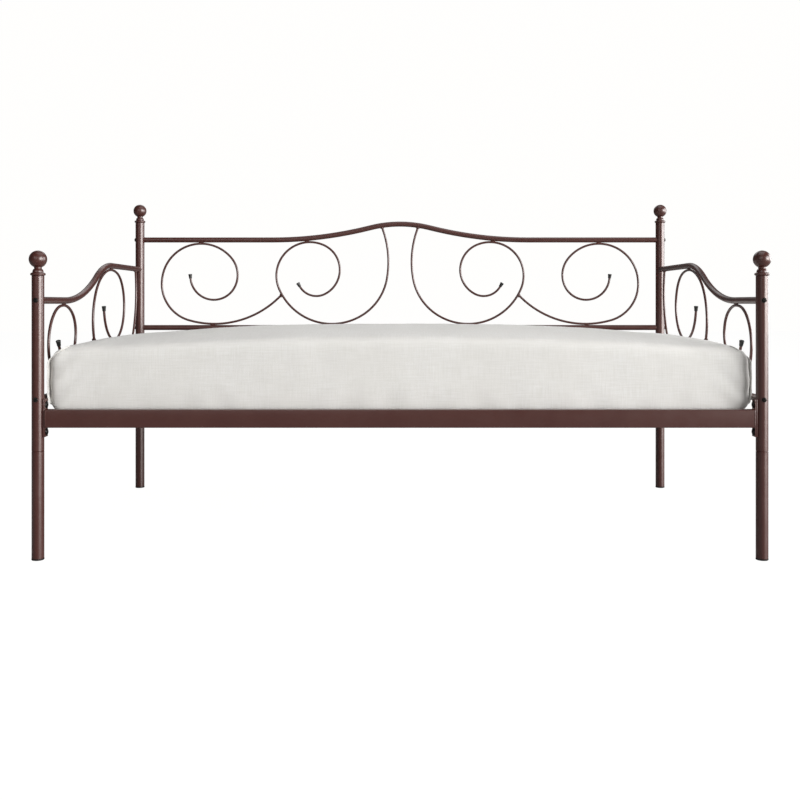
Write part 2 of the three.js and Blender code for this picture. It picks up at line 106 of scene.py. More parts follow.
RAIL_Z = 374.5 * MM
RAIL_DEPTH = 25 * MM
RAIL_HEIGHT = 48 * MM
PLATE_T = 3 * MM
PLATE_Z = (326 * MM, 426 * MM)
PLATE_Y = (-10 * MM, 12 * MM)  # from the post's axis, outside and inside the bed
PLATE_FACE = POST_X - POST_R - PLATE_T - 0.3 * MM  # where bracket and rail plate meet
RAIL_BOLT_Z = (339 * MM, 411 * MM)
LEDGE_Z = 372 * MM
LEDGE_W = 25 * MM
LEDGE_T = 2 * MM


# ---- Materials ------------------------------------------------------------------------------
class Shader:
    """A Principled material whose maps are laid out in object coordinates, in metres."""

    def __init__(self, name, metallic=0.0, **sockets):
        self.material = bpy.data.materials.new(name)
        self.material.use_nodes = True
        self.tree = self.material.node_tree
        self.principled = self.tree.nodes["Principled BSDF"]
        self.principled.inputs["Metallic"].default_value = metallic
        for socket, value in sockets.items():
            self.principled.inputs[socket.replace("_", " ")].default_value = value
        self.place = self.node("ShaderNodeTexCoord").outputs["Object"]

    def node(self, kind, inputs=None, **settings):
        made = self.tree.nodes.new(kind)
        for key, value in settings.items():
            setattr(made, key, value)
        for key, value in (inputs or {}).items():
            if isinstance(value, bpy.types.NodeSocket):
                self.tree.links.new(value, made.inputs[key])
            else:
                made.inputs[key].default_value = value
        return made

    def noise(self, scale, detail=2.0, stretch=(1, 1, 1), distortion=0.0):
        place = self.node("ShaderNodeMapping", {"Vector": self.place, "Scale": stretch}).outputs[0]
        texture = self.node(
            "ShaderNodeTexNoise",
            {"Vector": place, "Scale": scale, "Detail": detail, "Distortion": distortion},
        )
        return texture.outputs["Fac"]

    def math(self, operation, first, second=0.0):
        return self.node("ShaderNodeMath", {0: first, 1: second}, operation=operation).outputs[0]

    def ranged(self, value, low, high, from_low=0.3, from_high=0.7):
        inputs = {"Value": value, "From Min": from_low, "From Max": from_high}
        inputs |= {"To Min": low, "To Max": high}
        return self.node("ShaderNodeMapRange", inputs).outputs[0]

    def blend(self, factor, first, second):
        mixed = self.node("ShaderNodeMix", data_type="RGBA")
        for index, value in ((0, factor), (6, first), (7, second)):
            if isinstance(value, bpy.types.NodeSocket):
                self.tree.links.new(value, mixed.inputs[index])
            else:
                mixed.inputs[index].default_value = value
        return mixed.outputs[2]

    def link(self, socket, value):
        self.tree.links.new(value, self.principled.inputs[socket])

    def bump(self, *layers):
        """Each layer is (height, strength, distance); they are stacked on one another."""
        normal = None
        for height, strength, distance in layers:
            inputs = {"Height": height, "Strength": strength, "Distance": distance}
            if normal is not None:
                inputs["Normal"] = normal
            normal = self.node("ShaderNodeBump", inputs).outputs[0]
        self.link("Normal", normal)


def rgb(red, green, blue):
    return (red, green, blue, 1.0)


def powder_coat(name, dark, light, rough=(0.3, 0.37)):
    """Bronze-brown powder coat: orange peel, fine flecks, faint cloudiness and rubbed patches."""
    shader = Shader(name, Specular_IOR_Level=0.5, Coat_Weight=0.45, Coat_Roughness=0.33)
    cloud = shader.noise(9, detail=4)
    fleck = shader.noise(1700, detail=1)
    peel = shader.noise(520, detail=2)
    rub = shader.noise(38, detail=5, distortion=0.6)
    body = shader.blend(shader.ranged(cloud, 0, 1), dark, light)
    sparkle = shader.ranged(fleck, 0, 0.12, 0.64, 0.8)
    brass = (light[0] * 1.9, light[1] * 1.9, light[2] * 1.8, 1)
    shader.link("Base Color", shader.blend(sparkle, body, brass))
    shader.link("Roughness", shader.ranged(rub, *rough))
    shader.bump((peel, 0.03, 0.1 * MM))
    return shader.material


def black_steel(name):
    """Black-oxide fasteners: turned faces, oil sheen and paler rubbed spots."""
    shader = Shader(name, metallic=0.75)
    grain = shader.noise(900, detail=3)
    rub = shader.noise(160, detail=4)
    oxide = rgb(0.01, 0.009, 0.0085)
    worn = rgb(0.05, 0.047, 0.045)
    shader.link("Base Color", shader.blend(shader.ranged(rub, 0, 1, 0.5, 0.75), oxide, worn))
    shader.link("Roughness", shader.ranged(rub, 0.22, 0.4))
    shader.bump((grain, 0.2, 0.1 * MM))
    return shader.material


def moulded(name, dark, light):
    """Moulded plastic: spark-eroded grain with slow flow marks."""
    shader = Shader(name, Specular_IOR_Level=0.5)
    grain = shader.noise(1400, detail=3)
    flow = shader.noise(120, detail=3, stretch=(1, 1, 0.25), distortion=1.2)
    shader.link("Base Color", shader.blend(shader.ranged(flow, 0, 1), dark, light))
    shader.link("Roughness", shader.ranged(flow, 0.34, 0.5))
    shader.bump((grain, 0.25, 0.12 * MM), (flow, 0.1, 0.2 * MM))
    return shader.material


WAVES_PER_SCALE = 3.2  # bands of the wave texture per metre at scale 1


def linen(name):
    """Plain-woven linen: warp and weft threads with slubs, laid along whichever way a face looks, with
    painted shade in the gaps between threads.
    """
    shader = Shader(name, Sheen_Weight=0.25, Sheen_Roughness=0.55, Specular_IOR_Level=0.25)
    xyz = shader.node("ShaderNodeSeparateXYZ", {0: shader.place}).outputs
    normal = shader.node("ShaderNodeNewGeometry").outputs["Normal"]
    facing = shader.node("ShaderNodeSeparateXYZ", {0: normal}).outputs
    endways = shader.ranged(shader.math("ABSOLUTE", facing[0]), 0, 1, 0.66, 0.74)
    upward = shader.ranged(shader.math("ABSOLUTE", facing[2]), 0, 1, 0.5, 0.6)

    def between(factor, first, second):
        kept = shader.math("MULTIPLY", first, shader.math("SUBTRACT", 1.0, factor))
        return shader.math("ADD", kept, shader.math("MULTIPLY", second, factor))

    across = between(endways, xyz[0], xyz[1])
    along = between(upward, xyz[2], xyz[1])
    cloth = shader.node("ShaderNodeCombineXYZ", {0: across, 1: along, 2: 0.0}).outputs[0]

    def threads(direction, spacing):
        inputs = {"Vector": cloth, "Scale": 1 / spacing / WAVES_PER_SCALE}
        inputs |= {"Distortion": 1.5, "Detail": 2.0, "Detail Scale": 0.8}
        return shader.node("ShaderNodeTexWave", inputs, bands_direction=direction).outputs["Fac"]

    def slubs(stretch, scale):
        place = shader.node("ShaderNodeMapping", {"Vector": cloth, "Scale": stretch}).outputs[0]
        inputs = {"Vector": place, "Scale": scale, "Detail": 3.0}
        return shader.node("ShaderNodeTexNoise", inputs).outputs["Fac"]

    warp = threads("X", 0.9 * MM)
    weft = threads("Y", 0.8 * MM)
    weave = shader.math("MAXIMUM", warp, weft)
    warp_slubs = slubs((9, 0.6, 1), 32)
    weft_slubs = slubs((0.6, 9, 1), 30)
    slub = shader.math("ADD", warp_slubs, weft_slubs)
    cloud = shader.noise(6, detail=3)
    pale = shader.blend(shader.ranged(cloud, 0, 1), rgb(0.735, 0.72, 0.69), rgb(0.775, 0.765, 0.745))
    woven = shader.blend(shader.ranged(slub, 0, 1, 0.72, 1.25), rgb(0.69, 0.675, 0.64), pale)
    # Painted shade: the cover's colour is darkened towards a grey in the hollows between threads, where
    # the weave would be in shadow.
    painted_thread_gap_shade = shader.ranged(weave, 0.22, 0, 0.2, 0.9)
    shader.link("Base Color", shader.blend(painted_thread_gap_shade, woven, rgb(0.58, 0.565, 0.53)))
    shader.link("Roughness", shader.ranged(slub, 0.8, 0.95, 0.7, 1.3))
    shader.bump((weave, 0.35, 0.25 * MM), (slub, 0.22, 0.5 * MM))
    return shader.material


def stage_paint(name, glow):
    """Floor paint that looks near white from the camera and sends little light back up."""
    shader = Shader(name, Specular_IOR_Level=0.0, Roughness=1.0)
    seen = shader.node("ShaderNodeLightPath").outputs["Is Camera Ray"]
    shader.link("Base Color", shader.blend(seen, rgb(0.53, 0.53, 0.525), rgb(0.1, 0.1, 0.099)))
    shader.principled.inputs["Emission Color"].default_value = rgb(1.0, 1.0, 0.995)
    shader.link("Emission Strength", shader.math("MULTIPLY", seen, glow))
    return shader.material


BRONZE = powder_coat("bronze_powder_coat", rgb(0.054, 0.0098, 0.0058), rgb(0.064, 0.0158, 0.0108))
SLAT_COAT = powder_coat(
    "slat_powder_coat", rgb(0.024, 0.016, 0.014), rgb(0.034, 0.023, 0.02), rough=(0.38, 0.5)
)
BLACK_STEEL = black_steel("black_steel")
TIP_BLACK = moulded("tip_plastic", rgb(0.005, 0.0055, 0.005), rgb(0.01, 0.011, 0.01))
GLIDE_BLACK = moulded("glide_plastic_dark", rgb(0.012, 0.012, 0.011), rgb(0.02, 0.019, 0.018))
LINEN = linen("mattress_linen")


# ---- Mesh building --------------------------------------------------------------------------
class Shape:
    """Vertices and faces of one piece, gathered from closed parts."""

    def __init__(self):
        self.vertices = []
        self.faces = []

    def add(self, vertices, faces):
        base = len(self.vertices)
        self.vertices += [Vector(v) for v in vertices]
        self.faces += [tuple(base + i for i in face) for face in faces]
        return self

    def rings(self, rings, closed=False):
        """A skin over rings of equal count; a ring of one point is a pole, other ends are capped."""
        vertices, starts = [], []
        for ring in rings:
            starts.append(len(vertices))
            vertices += ring
        faces = []
        pairs = list(zip(range(len(rings) - 1), range(1, len(rings))))
        if closed:
            pairs.append((len(rings) - 1, 0))
        for low, high in pairs:
            a, b, n, m = starts[low], starts[high], len(rings[low]), len(rings[high])
            for i in range(max(n, m)):
                j = (i + 1) % max(n, m)
                if n == 1:
                    faces.append((a, b + j, b + i))
                elif m == 1:
                    faces.append((a + i, a + j, b))
                else:
                    faces.append((a + i, a + j, b + j, b + i))
        if not closed and len(rings[0]) > 1:
            faces.append(tuple(reversed(range(len(rings[0])))))
        if not closed and len(rings[-1]) > 1:
            faces.append(tuple(starts[-1] + i for i in range(len(rings[-1]))))
        return self.add(vertices, faces)

    def lathe(self, profile, at, axis=UP, steps=48):
        """Turns (radius, height) points, bottom to top, about an axis through at."""
        turn = UP.rotation_difference(axis.normalized())
        rings = []
        for radius, height in profile:
            if radius <= 0:
                rings.append([at + turn @ Vector((0, 0, height))])
                continue
            angles = [2 * math.pi * i / steps for i in range(steps)]
            rings.append(
                [at + turn @ Vector((radius * math.cos(a), radius * math.sin(a), height)) for a in angles]
            )
        return self.rings(rings)

    def bar(self, stations, radius, normal, sides=20, ends=None):
        """A round bar through (point, tangent) stations in the plane across normal.

        radius is a number or one for each station; ends moves the two end rings' points."""
        rings = []
        last = len(stations) - 1
        for index, (point, tangent) in enumerate(stations):
            r = radius if isinstance(radius, float) else radius[index]
            side = tangent.cross(normal).normalized()
            ring = []
            for i in range(sides):
                angle = 2 * math.pi * i / sides
                offset = r * (math.cos(angle) * normal + math.sin(angle) * side)
                if ends and index in (0, last):
                    offset += ends(offset, tangent, index == 0)
                ring.append(point + offset)
            rings.append(ring)
        return self.rings(rings)

    def slab(self, low, high, bevel, segments=3, axes=(0, 1, 2)):
        """A box with rounded edges: only the edges along the given axes are rounded."""
        mesh = bmesh.new()
        bmesh.ops.create_cube(mesh, size=1.0)
        middle = (Vector(low) + Vector(high)) / 2
        size = Vector(high) - Vector(low)
        for v in mesh.verts:
            v.co = Vector(v.co[i] * size[i] + middle[i] for i in range(3))
        edges = []
        for edge in mesh.edges:
            way = edge.verts[1].co - edge.verts[0].co
            if max(range(3), key=lambda i: abs(way[i])) in axes:
                edges.append(edge)
        bmesh.ops.bevel(mesh, geom=edges, offset=bevel, segments=segments, profile=0.5, affect="EDGES")
        mesh.verts.index_update()
        self.add([v.co.copy() for v in mesh.verts], [[v.index for v in f.verts] for f in mesh.faces])
        mesh.free()
        return self

    def mesh(self, name, sharp=35):
        mesh = bpy.data.meshes.new(name)
        mesh.from_pydata([tuple(v) for v in self.vertices], [], self.faces)
        work = bmesh.new()
        work.from_mesh(mesh)
        bmesh.ops.recalc_face_normals(work, faces=work.faces)
        work.to_mesh(mesh)
        work.free()
        mesh.shade_smooth()
        mesh.set_sharp_from_angle(angle=math.radians(sharp))
        return mesh


def piece(name, shape, material, body="frame", replaces=(), sharp=35):
    mesh = shape.mesh(name, sharp) if isinstance(shape, Shape) else shape
    mesh.materials.append(material)
    made = bpy.data.objects.new(name, mesh)
    SCENE.collection.objects.link(made)
    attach(made, body)
    if replaces:
        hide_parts(*replaces)
    return made


# ---- Bent paths -----------------------------------------------------------------------------
def bend(start, heading, segments, place, step=3.0):
    """(point, tangent) stations of straights (length,) and arcs (radius, signed turn)."""
    u, v = start
    angle = math.radians(heading)
    origin = place(0, 0)
    stations = []

    def station():
        stations.append((place(u, v), (place(math.cos(angle), math.sin(angle)) - origin).normalized()))

    station()
    for segment in segments:
        if len(segment) == 1:
            u += segment[0] * math.cos(angle)
            v += segment[0] * math.sin(angle)
            station()
            continue
        radius, turn = segment
        side = math.copysign(1, turn)
        centre = (u - side * radius * math.sin(angle), v + side * radius * math.cos(angle))
        first = angle
        steps = math.ceil(abs(turn) / step)
        for i in range(1, steps + 1):
            angle = first + math.radians(turn) * i / steps
            u = centre[0] + side * radius * math.sin(angle)
            v = centre[1] - side * radius * math.cos(angle)
            station()
    return stations


def back_plane(side):
    return lambda u, v: Vector((-side * u, POST_Y, v))


def arm_plane(side):
    return lambda u, v: Vector((side * POST_X, u - POST_Y, v))


def scroll_path(key, place):
    (u, v), heading, arcs = SCROLLS[key]
    segments = [(radius * MM, -turn) for radius, turn in arcs]
    return bend((u * MM, v * MM), heading, [*segments, (TIP_COVER,)], place)


def rise(angle, lower, upper):
    return [(lower, angle), (upper, -angle)], (lower + upper) * math.sin(math.radians(angle))


def arm_top_path(side):
    up, run = rise(*ARM_RISE)
    level = 2 * POST_Y - ARM_LEVEL - run
    return bend((0, ARM_TOP_Z), 0, [(ARM_LEVEL,), *up, (level,)], arm_plane(side), 1.5)


def back_top_path():
    up, run = rise(*BACK_RISE)
    level = POST_X - run
    down = up[::-1]
    return bend((-POST_X, BACK_TOP_Z), 0, [(level,), *up, *down, (level,)], back_plane(-1), 1.2)


def nearest(point, stations):
    """(distance, index) of the station nearest to a point, measured to the local straight."""
    best = (1e9, 0)
    for index, (at, tangent) in enumerate(stations):
        offset = point - at
        across = offset - offset.dot(tangent) * tangent
        distance = across.length if abs(offset.dot(tangent)) < 30 * MM else offset.length
        best = min(best, (distance, index))
    return best


def dense(stations):
    """The same path with points every few millimetres, for measuring to."""
    out = []
    for (a, ta), (b, tb) in zip(stations, stations[1:]):
        steps = max(1, int((b - a).length / (8 * MM)))
        for i in range(steps):
            out.append((a.lerp(b, i / steps), ta.lerp(tb, i / steps).normalized()))
    return [*out, stations[-1]]


def trimmed(rod, other, distance):
    """The rod from the point where it is this far from the other's axis, to its end."""
    first = next(i for i, (point, _) in enumerate(rod) if nearest(point, other)[0] >= distance)
    if first == 0:
        return rod
    (inside, entering), (outside, leaving) = rod[first - 1], rod[first]
    low, high = 0.0, 1.0
    for _ in range(20):
        half = (low + high) / 2
        if nearest(inside.lerp(outside, half), other)[0] < distance:
            low = half
        else:
            high = half
    return [(inside.lerp(outside, high), entering.lerp(leaving, high).normalized()), *rod[first:]]


def touches(rod, other, reach):
    """Stations of rod where it passes closest to other, within reach."""
    distances = [nearest(point, other)[0] for point, _ in rod]
    found = []
    for i in range(2, len(rod) - 1):
        if distances[i] < reach and distances[i] == min(distances[max(0, i - 4):i + 5]):
            found.append(i)
    return found


# ---- Welds ----------------------------------------------------------------------------------
def weld_collar(shape, rod, other, other_radius, normal):
    """A rippled bead round a rod's tail where it meets another tube or rod."""
    point, tangent = rod[0]
    index = nearest(point, other)[1]
    axis, along = other[index]

    def clearance(p):
        offset = p - axis
        return (offset - offset.dot(along) * along).length - other_radius

    side = tangent.cross(normal).normalized()
    steps = 36
    middles = []
    for i in range(steps):
        angle = 2 * math.pi * i / steps
        start = point + 5.0 * MM * (math.cos(angle) * normal + math.sin(angle) * side)
        low, high = -4 * MM, 14 * MM
        for _ in range(24):
            half = (low + high) / 2
            if clearance(start + half * tangent) < 0.6 * MM:
                low = half
            else:
                high = half
        middles.append(start + high * tangent)
    rings = []
    for i, middle in enumerate(middles):
        way = (middles[(i + 1) % steps] - middles[i - 1]).normalized()
        out = (middle - point).normalized()
        rise_way = way.cross(out).normalized()
        size = 1.7 * MM * (1 + 0.14 * math.sin(4.5 * i))
        rings.append(
            [
                middle + size * (math.cos(a) * out + math.sin(a) * rise_way)
                for a in [2 * math.pi * k / 10 for k in range(10)]
            ]
        )
    shape.rings(rings, closed=True)


def weld_fillet(shape, rod, index, other, normal, reach=9 * MM, size=2.3 * MM):
    """A lump in each groove where a rod lies against another tube or rod."""
    point, tangent = rod[index]
    toward = other[nearest(point, other)[1]][0] - point
    toward -= toward.dot(tangent) * tangent
    toward -= toward.dot(normal) * normal
    contact = point + toward.normalized() * ROD_R
    for face in (-1, 1):
        middle = contact + normal * (face * 2.1 * MM)
        stations, sizes = [], []
        steps = 16
        for i in range(steps + 1):
            t = 2 * i / steps - 1
            stations.append((middle + tangent * (t * reach), tangent))
            ripple = 1 + 0.1 * math.sin(3.1 * i)
            sizes.append(max(0.25 * MM, size * math.sqrt(max(0.0, 1 - t * t)) * ripple))
        shape.bar(stations, sizes, normal, sides=10)


def weld_seam(shape, low, high, size):
    """A straight rippled bead."""
    way = (high - low).normalized()
    normal = X_AXIS if abs(way.x) < 0.9 else Y_AXIS
    steps = max(8, int((high - low).length / (1.5 * MM)))
    stations, sizes = [], []
    for i in range(steps + 1):
        stations.append((low.lerp(high, i / steps), way))
        edge = min(1.0, min(i, steps - i) / 2 + 0.15)
        sizes.append(size * edge * (1 + 0.12 * math.sin(2.2 * i)))
    shape.bar(stations, sizes, normal, sides=8)


# ---- Corner pieces --------------------------------------------------------------------------
def post_shell(low, high):
    chamfer = 0.9 * MM
    return [
        (0, low),
        (POST_R - chamfer, low),
        (POST_R, low + chamfer),
        (POST_R, (low + high) / 2),
        (POST_R, high - chamfer),
        (POST_R - chamfer, high),
        (0, high),
    ]


def make_corner(name, inward, outward):
    axis, seam, top = POST_AT[name]
    gap = 0.3 * MM
    glide_r = 16.4 * MM
    glide = Shape().lathe(
        [
            (0, 0), (14.8 * MM, 0), (15.7 * MM, 0.25 * MM), (16.2 * MM, 0.8 * MM), (glide_r, 1.6 * MM),
            (glide_r, 3.4 * MM), (16.1 * MM, 3.7 * MM), (14.2 * MM, 3.7 * MM),
            (14.2 * MM, 22 * MM), (0, 23 * MM),
        ],
        axis,
    )
    piece(f"{name}_glide.moulded", glide, GLIDE_BLACK, replaces=[f"{name}_glide"])
    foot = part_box(f"{name}_leg")[0].z
    leg = Shape().lathe(post_shell(foot, seam - gap), axis, steps=64)
    spigot_r, spigot_low, spigot_high = 14.2 * MM, seam - 1 * MM, seam + 3 * MM
    leg.lathe([(0, spigot_low), (spigot_r, spigot_low), (spigot_r, spigot_high), (0, spigot_high)], axis)
    piece(f"{name}_leg.coated", leg, BRONZE, replaces=[f"{name}_leg"])

    post = Shape().lathe(post_shell(seam, top), axis, steps=64)
    faces = sorted(axis.x + inward * x for x in (POST_R - 0.9 * MM, POST_R + PLATE_T))
    edges = sorted(axis.y - outward * y for y in PLATE_Y)
    post.slab((faces[0], edges[0], PLATE_Z[0]), (faces[1], edges[1], PLATE_Z[1]), 0.7 * MM)
    for groove in (-1, 1):
        at = Vector((axis.x + inward * (POST_R - 1.2 * MM), axis.y + groove * 6.6 * MM, 0))
        weld_seam(post, at + UP * (PLATE_Z[0] + 3 * MM), at + UP * (PLATE_Z[1] - 3 * MM), 1.1 * MM)
    piece(f"{name}_post.coated", post, BRONZE, replaces=[f"{name}_post"])

    profile = [(0, -3 * MM), (14.2 * MM, -3 * MM), (14.2 * MM, gap), (16.6 * MM, gap)]
    profile += [(18.2 * MM, 0.9 * MM), (19.1 * MM, 2.1 * MM), (19.5 * MM, 3.6 * MM), (19.4 * MM, 5 * MM)]
    profile += [(18.7 * MM, 6.4 * MM), (17.2 * MM, 7.5 * MM), (15.4 * MM, 8.2 * MM), (14.3 * MM, 8.7 * MM)]
    for degrees in range(5, 80, 8):
        a = math.radians(degrees)
        profile.append((9.5 * MM + 4.7 * MM * math.cos(a), 8.7 * MM + 9.4 * MM * math.sin(a)))
    profile.append((9.6 * MM, 18.6 * MM))
    ball, ball_z = 23.25 * MM, 43.7 * MM
    lowest = -math.acos(9.9 * MM / ball)
    steps = 26
    for i in range(steps):
        a = lowest + (math.pi / 2 - lowest) * i / steps
        profile.append((ball * math.cos(a), ball_z + ball * math.sin(a)))
    profile.append((0, ball_z + ball))
    finial = Shape().lathe(profile, axis + UP * top, steps=56)
    piece(f"{name}_finial.turned", finial, BRONZE, replaces=[f"{name}_finial"], sharp=28)


# ---- Fasteners ------------------------------------------------------------------------------
def socket_head(at, axis, radius, crown, socket, shank, reach=4 * MM, washer=None):
    """A domed head with a hexagon socket; at is the middle of the face it sits on."""
    shape = Shape()
    if washer:
        thick = 1.2 * MM
        shape.lathe(
            [(0, 0), (washer - 0.3 * MM, 0), (washer, 0.3 * MM), (washer, thick - 0.4 * MM),
             (washer - 0.4 * MM, thick), (0, thick)],
            at, axis, 36,
        )
        at = at + axis * thick
    steps = 36
    turn = UP.rotation_difference(axis)

    def ring(r, height, hexagon=False):
        points = []
        for i in range(steps):
            a = 2 * math.pi * i / steps
            reach_out = r / math.cos((a + math.pi / 6) % (math.pi / 3) - math.pi / 6) if hexagon else r
            points.append(at + turn @ Vector((reach_out * math.cos(a), reach_out * math.sin(a), height)))
        return points

    rings = [[at - axis * reach], ring(shank - 0.3 * MM, -reach), ring(shank, 0.3 * MM - reach)]
    rings.append(ring(shank, 0))
    rings += [ring(radius - 0.2 * MM, 0), ring(radius, 0.25 * MM), ring(radius, 0.22 * crown)]
    for degrees in (18, 36, 54, 68):
        a = math.radians(degrees)
        rings.append(ring(radius * (0.42 + 0.58 * math.cos(a)), crown * (0.22 + 0.78 * math.sin(a))))
    rings.append(ring(socket + 0.5 * MM, crown))
    rings += [ring(socket, 0.97 * crown, True), ring(socket, 0.45 * crown, True)]
    rings.append([at + axis * 0.3 * crown])
    return shape.rings(rings)


def make_fasteners():
    m6 = dict(radius=6.4 * MM, crown=3.6 * MM, socket=1.9 * MM, shank=3 * MM)
    m8 = dict(radius=8 * MM, crown=2.8 * MM, socket=2.6 * MM, shank=4 * MM, washer=9.8 * MM)
    arm_rear_z = arm_top_path(1)[-1][0].z
    for side, x in (("left", -1), ("right", 1)):
        for level, z in (("lower", ARM_LOWER_Z), ("upper", ARM_TOP_Z)):
            node = f"{side}_arm_{level}_bolt"
            at = Vector((x * POST_X, -POST_Y - POST_R, z))
            head = socket_head(at, -Y_AXIS, **m6)
            piece(f"{node}.headed", head, BLACK_STEEL, replaces=[node])
        for level, z in (("lower", ARM_LOWER_Z), ("upper", arm_rear_z)):
            at = Vector((x * POST_X, POST_Y + POST_R, z))
            head = socket_head(at, Y_AXIS, **m6)
            piece(f"{side}_arm_rear_{level}_bolt", head, BLACK_STEEL)
        for level, z in (("lower", BACK_LOWER_Z), ("upper", BACK_TOP_Z)):
            node = f"back_{side}_{level}_bolt"
            at = Vector((x * (POST_X + POST_R), POST_Y, z))
            head = socket_head(at, x * X_AXIS, **m6)
            piece(f"{node}.headed", head, BLACK_STEEL, replaces=[node])
        for end, y in (("front", -1), ("rear", 1)):
            for level, z in zip(("lower", "upper"), RAIL_BOLT_Z):
                at = Vector((x * (PLATE_FACE - PLATE_T), y * POST_Y, z))
                head = socket_head(at, -x * X_AXIS, **m8)
                piece(f"{end}_{side}_rail_{level}_bolt", head, BLACK_STEEL)


# ---- Panels ---------------------------------------------------------------------------------
def cope_to_posts(radius=POST_R + 0.15 * MM):
    """Moves the end rings of a tube that runs between two post axes on to the posts' faces."""

    def move(offset, tangent, first):
        across = tangent.cross(UP).normalized()
        u = offset.dot(across)
        depth = math.sqrt(radius * radius - u * u)
        return tangent * (depth if first else -depth)

    return move


def panel_tube(stations, normal):
    """A tube coped to its posts, with extra rings so that the cope stays local."""
    (start, heading), (end, arrival) = stations[0], stations[-1]
    collar = 30 * MM
    inner = [(start + heading * collar, heading), *stations[1:-1], (end - arrival * collar, arrival)]
    path = [stations[0], *inner, stations[-1]]
    return Shape().bar(path, TUBE_R, normal, sides=32, ends=cope_to_posts())


def scroll_tip(end, tangent):
    start = -TIP_COVER
    mouth = TIP_LENGTH - TIP_COVER
    profile = [
        (0, start), (5.1 * MM, start), (5.4 * MM, start + 0.4 * MM), (5.5 * MM, start + 3 * MM),
        (5.8 * MM, start + 7 * MM), (6.3 * MM, mouth - 5 * MM), (6.8 * MM, mouth - 2.2 * MM),
        (7.0 * MM, mouth - 1.2 * MM), (6.9 * MM, mouth - 0.4 * MM), (6.4 * MM, mouth),
        (5.4 * MM, mouth - 0.3 * MM), (0, mouth - 0.5 * MM),
    ]
    return Shape().lathe(profile, end, tangent, 28)


def make_scroll(node, rod, tail_on, tail_radius, rests, normal):
    """One scroll: rod from the surface it is welded to, its welds, and its cap."""
    rod = trimmed(rod, tail_on, tail_radius - 1.5 * MM)
    shape = Shape().bar(rod[:-1] + [(rod[-1][0] - rod[-1][1] * MM, rod[-1][1])], ROD_R, normal, sides=18)
    weld_collar(shape, rod, tail_on, tail_radius, normal)
    for other, other_radius in rests:
        for index in touches(rod[14:], other, ROD_R + other_radius + 1.2 * MM):
            weld_fillet(shape, rod, index + 14, other, normal)
    piece(f"{node}.bent", shape, BRONZE, replaces=[node], sharp=50)
    tip = scroll_tip(*rod[-1])
    piece(f"{node}_tip.moulded", tip, TIP_BLACK, replaces=[f"{node}_tip"], sharp=50)


def make_arm(side, x):
    normal = X_AXIS
    top = arm_top_path(x)
    lower = bend((0, ARM_LOWER_Z), 0, [(2 * POST_Y,)], arm_plane(x))
    for name, path in (("top", top), ("lower", lower)):
        node = f"{side}_arm_{name}_tube"
        piece(f"{node}.bent", panel_tube(path, normal), BRONZE, replaces=[node], sharp=50)
    top, lower = dense(top), dense(lower)
    rear = scroll_path("arm_rear", arm_plane(x))
    front = scroll_path("arm_front", arm_plane(x))
    rests = [(top, TUBE_R), (lower, TUBE_R)]
    make_scroll(f"{side}_arm_rear_scroll", rear, top, TUBE_R, rests, normal)
    make_scroll(f"{side}_arm_front_scroll", front, dense(rear), ROD_R, rests, normal)


def make_back():
    normal = Y_AXIS
    top = back_top_path()
    lower = bend((-POST_X, BACK_LOWER_Z), 0, [(2 * POST_X,)], back_plane(-1))
    for name, path in (("top", top), ("lower", lower)):
        node = f"back_{name}_tube"
        piece(f"{node}.bent", panel_tube(path, normal), BRONZE, replaces=[node], sharp=50)
    top, lower = dense(top), dense(lower)
    rests = [(top, TUBE_R), (lower, TUBE_R)]
    for side, x in (("left", -1), ("right", 1)):
        inner = scroll_path("back_inner", back_plane(x))
        outer = scroll_path("back_outer", back_plane(x))
        make_scroll(f"back_{side}_inner_scroll", inner, top, TUBE_R, rests, normal)
        make_scroll(f"back_{side}_outer_scroll", outer, dense(inner), ROD_R, rests, normal)


# ---- Deck -----------------------------------------------------------------------------------
def make_rail(node, y, inward):
    face = PLATE_FACE - PLATE_T
    half = RAIL_DEPTH / 2
    low_z, high_z = RAIL_Z - RAIL_HEIGHT / 2, RAIL_Z + RAIL_HEIGHT / 2
    shape = Shape().slab((-face, y - half, low_z), (face, y + half, high_z), 2.6 * MM, 4, axes=(0,))
    ledge = sorted((y + inward * (half - 0.5 * MM), y + inward * (half + LEDGE_W)))
    shape.slab((-face, ledge[0], LEDGE_Z - LEDGE_T), (face, ledge[1], LEDGE_Z), 0.5 * MM, 2)
    edges = sorted(y + inward * offset for offset in PLATE_Y)
    for end in (-1, 1):
        faces = sorted((end * face, end * PLATE_FACE))
        shape.slab((faces[0], edges[0], PLATE_Z[0]), (faces[1], edges[1], PLATE_Z[1]), 0.7 * MM)
        for z in (low_z, high_z):
            start = Vector((end * (face - 0.6 * MM), y - half + 2 * MM, z))
            weld_seam(shape, start, start + Vector((0, 2 * half - 4 * MM, 0)), 1.1 * MM)
        for side in (-1, 1):
            start = Vector((end * (face - 0.6 * MM), y + side * half, low_z + 2 * MM))
            weld_seam(shape, start, start + UP * (RAIL_HEIGHT - 4 * MM), 1.0 * MM)
    count = 13
    for i in range(count):
        x = (i - (count - 1) / 2) * 150 * MM
        start = Vector((x - 14 * MM, y + inward * (half + 0.3 * MM), LEDGE_Z - LEDGE_T - 0.4 * MM))
        weld_seam(shape, start, start + X_AXIS * 28 * MM, 1.6 * MM)
    piece(f"{node}.coated", shape, BRONZE, replaces=[node])


def make_slats():
    names = sorted(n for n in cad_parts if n.startswith("slat_"))
    screw = dict(radius=4.2 * MM, crown=2.2 * MM, socket=1.3 * MM, shank=2 * MM, reach=6 * MM)
    for name in names:
        low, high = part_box(name)
        shape = Shape().slab(low, high, 1.8 * MM, 3, axes=(1,))
        piece(f"{name}.coated", shape, SLAT_COAT, replaces=[name])
        for end, y in (("front", low.y), ("rear", high.y)):
            inset = math.copysign(12 * MM, -y)
            at = Vector(((low.x + high.x) / 2, y + inset, low.z - 2.6 * MM))
            piece(f"{name}_{end}_screw", socket_head(at, -UP, **screw), BLACK_STEEL)


